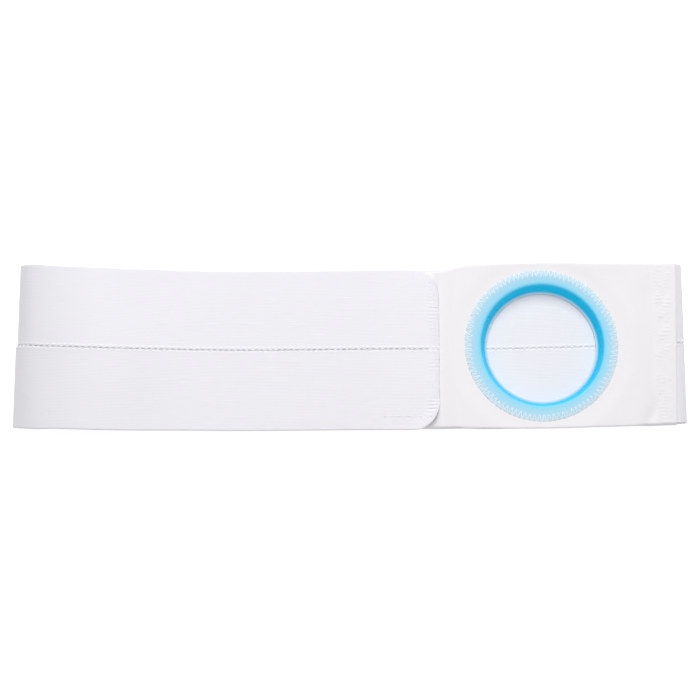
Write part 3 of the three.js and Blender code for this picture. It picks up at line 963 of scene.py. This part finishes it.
def panel_height(x, y):
    """Height of the panel's middle: its table, rise to the ring, dents, slack, puckers and turned edge."""
    away = ring_distance(x, y)
    level = along(PANEL_HEIGHTS, "z", x)
    z = PANEL_END_Z + (level - PANEL_END_Z) * smooth((away - FLANGE_RADIUS - 1) / (RING_RISE - 1))
    dish = FLANGE_SWELL * smooth((away - FLANGE_RADIUS + SWELL_START) / SWELL_WIDTH)
    dish += PANEL_DISH * rise(away, FLANGE_RADIUS, DISH_WIDTH)
    z += dish * rise(x, *DISH_LEFT) * fall(x, *DISH_RIGHT)
    for dent in DENTS:
        z -= dent_depth(dent, x, y)
    open_cloth = smooth((away - FLANGE_RADIUS - 1) / SLACK_CLEAR) * rise(x, *SLACK_LEFT)
    slack = sum(s["height"] * wobble(x, y, s["length"], s["width"], s["seed"]) for s in SLACK)
    z += slack * open_cloth * (1 - rise(x, *SLACK_RIGHT))
    pucker = rise(x, *PUCKER_LEFT) * fall(x, *PUCKER_RIGHT)
    sway = 2.5 * wobble(x, y, 5, 9, 1.3)
    ridge = 0.5 + 0.5 * math.sin(4 * math.pi * y / PANEL_STITCH_PITCH + sway)
    z += pucker * ridge * max(0.15 + 0.5 * wobble(x, y, 4, 7, 5.0), 0.0)
    turned = rise(x, *TURN_LEFT) * fall(x, *TURN_RIGHT) + rise(x, *TURN_SEWN)
    from_edge = y - along(PANEL_EDGES, "near", x)
    return z - EDGE_TURN * turned * smooth(1 - from_edge / EDGE_TURN_WIDTH)


def panel_object(material):
    """The panel's cloth with its round hole."""
    xs = np.concatenate([
        PANEL_START + np.array(PANEL_ROWS),
        spaced(PANEL_START + 1, PATCH_END, PANEL_STEP),
        spaced(PATCH_END, PANEL_LAP_END, PANEL_LAP_STEP)[1:],
        spaced(PANEL_LAP_END, PANEL_SEWN_START, PANEL_STEP)[1:],
        spaced(PANEL_SEWN_START, PANEL_END - 1, PANEL_SEWN_STEP)[1:],
        PANEL_END - np.array(PANEL_ROWS)[::-1],
    ])
    rim = np.array(PANEL_RIM)
    top, bottom, uv = [], [], []
    for x in xs:
        near = along(PANEL_EDGES, "near", x)
        far = along(PANEL_EDGES, "far", x) + 0.25 * wobble(x, 0.0, 9, 1, 2.0)
        middle = np.linspace(near + PANEL_EDGE, far - PANEL_EDGE, PANEL_COLUMNS)
        ys = np.concatenate([near + rim, middle, (far - rim)[::-1]])
        ending = max((x - TAIL_START) / (PANEL_END - TAIL_START), 0.0)
        share = (ys - near) / (far - near)
        skewed = x + PANEL_END_SKEW * (2 * share - 1) * ending
        z = np.array([panel_height(x, y) for y in ys])
        inside = np.minimum(ys - near, far - ys)
        to_end = min(x - PANEL_START, PANEL_END - x)
        thick = PANEL / 2 * edge_round(inside, PANEL_EDGE) * edge_round(to_end, PANEL_END_EDGE)
        creased = np.array([dent_depth(CREASE, x, y) for y in ys])
        top.append(np.stack([skewed, ys, z + thick - creased], axis=1))
        bottom.append(np.stack([skewed, ys, z - thick], axis=1))
        uv.append(np.stack([np.full_like(ys, x), ys], axis=1) * MM)
    top, bottom, uv = np.array(top), np.array(bottom), np.array(uv)
    centre = (top[:-1, :-1, :2] + top[1:, 1:, :2]) / 2
    keep = np.hypot(centre[..., 0] - RING_X, centre[..., 1] - RING_Y) > PANEL_HOLE
    for grid in (top, bottom):
        dx, dy = grid[..., 0] - RING_X, grid[..., 1] - RING_Y
        away = np.hypot(dx, dy)
        snap = np.abs(away - PANEL_HOLE) < HOLE_SNAP
        grid[..., 0] = np.where(snap, RING_X + dx / away * PANEL_HOLE, grid[..., 0])
        grid[..., 1] = np.where(snap, RING_Y + dy / away * PANEL_HOLE, grid[..., 1])
    return sheet_object("panel_cloth", top, bottom, uv, keep, material)


def panel_stitch_lines():
    """Two rows of zigzag that hold the panel's end to the elastic."""
    near = along(PANEL_EDGES, "near", PANEL_STITCH_X) + PANEL_STITCH_INSET
    far = along(PANEL_EDGES, "far", PANEL_STITCH_X) - PANEL_STITCH_INSET

    def at(y, x, lift):
        share = (y - near) / (far - near)
        ending = max((x - TAIL_START) / (PANEL_END - TAIL_START), 0.0)
        skewed = x + PANEL_END_SKEW * (2 * share - 1) * ending
        return (skewed, y, panel_height(x, y) + PANEL / 2 + lift)

    return [
        zigzag(at, near, far, PANEL_STITCH_PITCH, *column, jitter=0.4, proud=-0.8, uneven=0.12)
        for column in PANEL_STITCH_COLUMNS
    ]


# The ring


def flange_top(r):
    """Height of the flange's upper face: a little dished, and pressed down at its sewn edge."""
    start = RING_STITCH_INNER + 1.5
    pressed = FLANGE_EDGE_DROP * smooth((r - start) / (FLANGE_RADIUS - start))
    return FLANGE_TOP - pressed - FLANGE_DISH * smooth((RING_STITCH_INNER + 1 - r) / 4)


def ring_profile():
    """The ring's section as radius, height and place in its colour ramp."""
    wall_top = FLANGE_TOP - MOUTH_DEPTH
    mouth_start = MOUTH_RADIUS + MOUTH_WIDTH
    low = FLANGE_Z - GAP
    edge = (flange_top(FLANGE_RADIUS) - low) / 2
    profile = []

    def corner(r, z, tone):
        profile.append((r, z, tone))

    for turn in np.radians(np.linspace(-90, 90, 7)):
        corner(FLANGE_RADIUS - edge + edge * math.cos(turn), low + edge + edge * math.sin(turn), 0.0)
    for r in np.linspace(FLANGE_RADIUS - 0.6, mouth_start + 0.3, 16):
        corner(r, flange_top(r), TONE_MOUTH * (FLANGE_RADIUS - r) / (FLANGE_RADIUS - mouth_start))
    for turn in np.linspace(0, math.pi / 2, 13):
        r = MOUTH_RADIUS + MOUTH_WIDTH * (1 - math.sin(turn))
        drop = (flange_top(mouth_start) - wall_top) * (1 - math.cos(turn))
        tone = TONE_MOUTH + (TONE_WALL - TONE_MOUTH) * turn / (math.pi / 2)
        corner(r, flange_top(mouth_start) - drop, tone)
    lip_top = COLLAR_BOTTOM + LIP
    fillet = LIP_FILLET
    for share in np.linspace(0.12, 1, 8):
        r = MOUTH_RADIUS + (COLLAR_RADIUS - MOUTH_RADIUS) * share
        tone = TONE_DEEP + (TONE_FOOT - TONE_DEEP) * share
        corner(r, wall_top + (lip_top + fillet - wall_top) * share, tone)
    for turn in np.radians((30, 60, 90)):
        r = COLLAR_RADIUS - fillet * (1 - math.cos(turn))
        tone = TONE_FOOT + (TONE_FILLET - TONE_FOOT) * turn / (math.pi / 2)
        corner(r, lip_top + fillet * (1 - math.sin(turn)), tone)
    half = LIP / 2
    corner((COLLAR_RADIUS - fillet + LIP_RADIUS + half) / 2, lip_top - 0.1, TONE_SHELF)
    for turn in np.radians(np.linspace(90, 270, 7)):
        z = COLLAR_BOTTOM + half + (half - 0.1) * math.sin(turn)
        corner(LIP_RADIUS + half + half * math.cos(turn), z, TONE_LIP)
    outside = COLLAR_RADIUS + COLLAR_WALL
    corner(outside - half, COLLAR_BOTTOM, TONE_LIP)
    for share in np.linspace(0, 1, 6):
        r = outside + (MOUTH_RADIUS - COLLAR_RADIUS) * share
        corner(r, COLLAR_BOTTOM + half + (wall_top - COLLAR_BOTTOM - half) * share, TONE_MOUTH)
    corner(mouth_start + 0.6, low, TONE_MOUTH)
    return profile


def ring_object(material):
    """The plastic ring, with its flange drawn in a little at each stitch."""
    profile = ring_profile()
    wall_top = FLANGE_TOP - MOUTH_DEPTH
    segments = RING_STITCHES * STITCH_SEGMENTS
    points, faces, face_uv = [], [], []
    for k in range(segments):
        turn = 2 * math.pi * k / segments
        pull = 0.5 + 0.5 * math.cos(2 * math.pi * k / STITCH_SEGMENTS)
        for r, z, tone in profile:
            near_edge = smooth((r - RING_STITCH_INNER - 1) / (FLANGE_RADIUS - RING_STITCH_INNER - 1))
            dimple = math.exp(-(((r - RING_STITCH_INNER) / DIMPLE_WIDTH) ** 2)) * (1 - pull)
            upper = 1.0 if z > FLANGE_Z - GAP + 0.05 else 0.0
            radius = r - STITCH_PULL * pull * near_edge
            height = z - upper * (DIMPLE * dimple + STITCH_DROP * pull * near_edge)
            inward = min(max((FLANGE_RADIUS - r) / (FLANGE_RADIUS - MOUTH_RADIUS), 0.0), 1.0)
            deep = min(max((wall_top - z) / (wall_top - COLLAR_BOTTOM), 0.0), 1.0)
            x = RING_X + radius * math.cos(turn) + MOUTH_LEAN[0] * inward + COLLAR_LEAN[0] * deep
            y = RING_Y + radius * math.sin(turn) + MOUTH_LEAN[1] * inward + COLLAR_LEAN[1] * deep
            points.append((x, y, height))
    count = len(profile)
    for k in range(segments):
        nxt = (k + 1) % segments
        for j in range(count):
            after = (j + 1) % count
            faces.append((k * count + j, nxt * count + j, nxt * count + after, k * count + after))
            u0, u1 = k / segments, (k + 1) / segments
            v0, v1 = profile[j][2], profile[after][2]
            face_uv.append([(u0, v0), (u1, v0), (u1, v1), (u0, v1)])
    return make_object("ring_plastic", points, faces, face_uv, material)


def ring_stitch_lines():
    """White zigzag over the flange's edge, from the flange down to the panel."""
    ground = PANEL_END_Z + PANEL / 2
    (inner_dive, inner_share), (outer_dive, outer_share) = RING_STITCH_DIVE
    points = []
    for k in range(2 * RING_STITCHES):
        turn_a = math.pi * k / RING_STITCHES
        turn_b = math.pi * (k + 1) / RING_STITCHES
        inner = RING_STITCH_INNER + random.uniform(-0.5, 0.5)
        outer = RING_STITCH_OUTER + random.uniform(-0.4, 0.3)
        proud = THREAD * random.uniform(-0.7, 0.6)
        for t in RING_SHARES:
            share = t if k % 2 == 1 else 1 - t
            r = inner + (outer - inner) * share
            on_flange = smooth((FLANGE_RADIUS + 0.15 - r) / 0.5)
            z = ground + (flange_top(min(r, FLANGE_RADIUS)) - ground) * on_flange + proud
            z -= inner_dive * fall(share, inner_share, inner_share)
            z -= outer_dive * rise(share, 1 - outer_share, outer_share)
            turn = turn_a + (turn_b - turn_a) * t
            points.append((RING_X + r * math.cos(turn), RING_Y + r * math.sin(turn), z))
    points.append(points[0])
    return [np.array(points)]


# The hook patch


def patch_object(material):
    """The hook tape under the free end."""
    ends = np.array(PATCH_ROWS)
    rim = np.array(PATCH_RIM)
    xs = np.concatenate([
        PATCH_START + ends,
        spaced(PATCH_START + 1.5, PATCH_END - PATCH_CORNER, 2.0),
        spaced(PATCH_END - PATCH_CORNER, PATCH_END - 1, 0.8)[1:],
        PATCH_END - ends[::-1],
    ])
    share = np.concatenate([rim, np.linspace(0.012, 0.988, 30), (1 - rim)[::-1]])
    z = LAP_Z - ELASTIC / 2 - GAP - PATCH / 2
    top, bottom, uv = [], [], []
    for x in xs:
        half = HALF_BAND - PATCH_INSET - corner_inset(PATCH_END - x, PATCH_CORNER, PATCH_CORNER)
        ys = along(FRONT_ROWS, "y", x) - half + 2 * half * share
        edge = np.minimum(share, 1 - share) * 2 * half
        to_end = min(x - PATCH_START, PATCH_END - x)
        thick = PATCH / 2 * edge_round(edge, PATCH_EDGE) * edge_round(to_end, PATCH_EDGE)
        top.append(np.stack([np.full_like(ys, x), ys, z + thick], axis=1))
        bottom.append(np.stack([np.full_like(ys, x), ys, z - thick], axis=1))
        uv.append(np.stack([np.full_like(ys, x), ys], axis=1) * MM)
    keep = np.ones((len(xs) - 1, len(share) - 1), dtype=bool)
    return sheet_object("hook_tape", np.array(top), np.array(bottom), np.array(uv), keep, material)


# Stage


def add_floor():
    """The white ground."""
    mesh = bpy.data.meshes.new("floor")
    corners = [(x * FLOOR_HALF, y * FLOOR_HALF, 0) for x, y in ((-1, -1), (1, -1), (1, 1), (-1, 1))]
    mesh.from_pydata(corners, [], [(0, 1, 2, 3)])
    floor = bpy.data.objects.new("floor", mesh)
    mesh.materials.append(floor_material())
    bpy.context.scene.collection.objects.link(floor)


def add_light():
    """The even fill and the two lamps, both aimed at the belt."""
    scene = bpy.context.scene
    world = bpy.data.worlds.new("studio")
    world.use_nodes = True
    ground = world.node_tree.nodes["Background"]
    ground.inputs["Color"].default_value = (1, 1, 1, 1)
    ground.inputs["Strength"].default_value = WORLD_STRENGTH
    scene.world = world
    for name, light in (("softbox", SOFTBOX), ("window", WINDOW)):
        lamp = bpy.data.lights.new(name, "AREA")
        lamp.size = light["size"]
        lamp.energy = light["power"]
        made = bpy.data.objects.new(name, lamp)
        made.location = light["place"]
        made.rotation_euler = (-made.location).to_track_quat("-Z", "Y").to_euler()
        scene.collection.objects.link(made)
    scene.view_settings.view_transform = "Standard"


def add_camera():
    """The camera, almost straight above the belt."""
    turn = math.radians(CAMERA_ELEVATION)
    target = Vector(np.array(CAMERA_TARGET) * MM + ORIGIN)
    back = Vector((0, -math.cos(turn), math.sin(turn)))
    lens = bpy.data.cameras.new("camera")
    lens.lens = CAMERA_LENS
    lens.sensor_width = SENSOR_WIDTH
    lens.clip_start = 0.01
    camera = bpy.data.objects.new("camera", lens)
    camera.location = target + back * CAMERA_DISTANCE * MM
    camera.rotation_euler = (-back).to_track_quat("-Z", "Y").to_euler()
    bpy.context.scene.collection.objects.link(camera)
    bpy.context.scene.camera = camera


# Build

webbing = webbing_material()
panel_cloth = panel_material()
white_thread = thread_material("white_thread", *WHITE_THREAD)
webbing_thread = thread_material("webbing_thread", *WEBBING_THREAD)
panel_thread = thread_material("panel_thread", *PANEL_THREAD)
ring_thread = thread_material("ring_thread", *RING_THREAD)

add_camera()

upper = strip_object("elastic_upper_webbing", 1, UPPER_FOLD_INSET, webbing)
lower = strip_object("elastic_lower_webbing", -1, 0.0, webbing)
panel = panel_object(panel_cloth)
ring = ring_object(ring_material())
patch = patch_object(hook_material())
seam = thread_object("seam_thread", seam_lines(), THREAD, white_thread)
overcast = thread_object("end_overcast_thread", overcast_lines(), THREAD, webbing_thread)
patch_stitches = thread_object("patch_thread", patch_stitch_lines(), THIN_THREAD, webbing_thread)
panel_stitches = thread_object("panel_end_thread", panel_stitch_lines(), END_THREAD, panel_thread)
ring_stitches = thread_object("ring_stitch_thread", ring_stitch_lines(), THIN_THREAD, ring_thread)

for piece, cad_node, slot in (
    (upper, "elastic_upper", "webbing"),
    (lower, "elastic_lower", "webbing"),
    (panel, "ring_panel", "panel_cloth"),
    (ring, "stoma_ring", "blue_plastic"),
    (patch, "hook_patch", "hook_tape"),
):
    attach(piece, "root")
    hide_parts(cad_node)

for piece, slot in (
    (seam, "webbing"),
    (overcast, "webbing"),
    (patch_stitches, "webbing"),
    (panel_stitches, "panel_cloth"),
    (ring_stitches, "panel_cloth"),
):
    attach(piece, "root")

strip_length = loop_line(0.0)[2][-1] * MM

add_floor()
add_light()
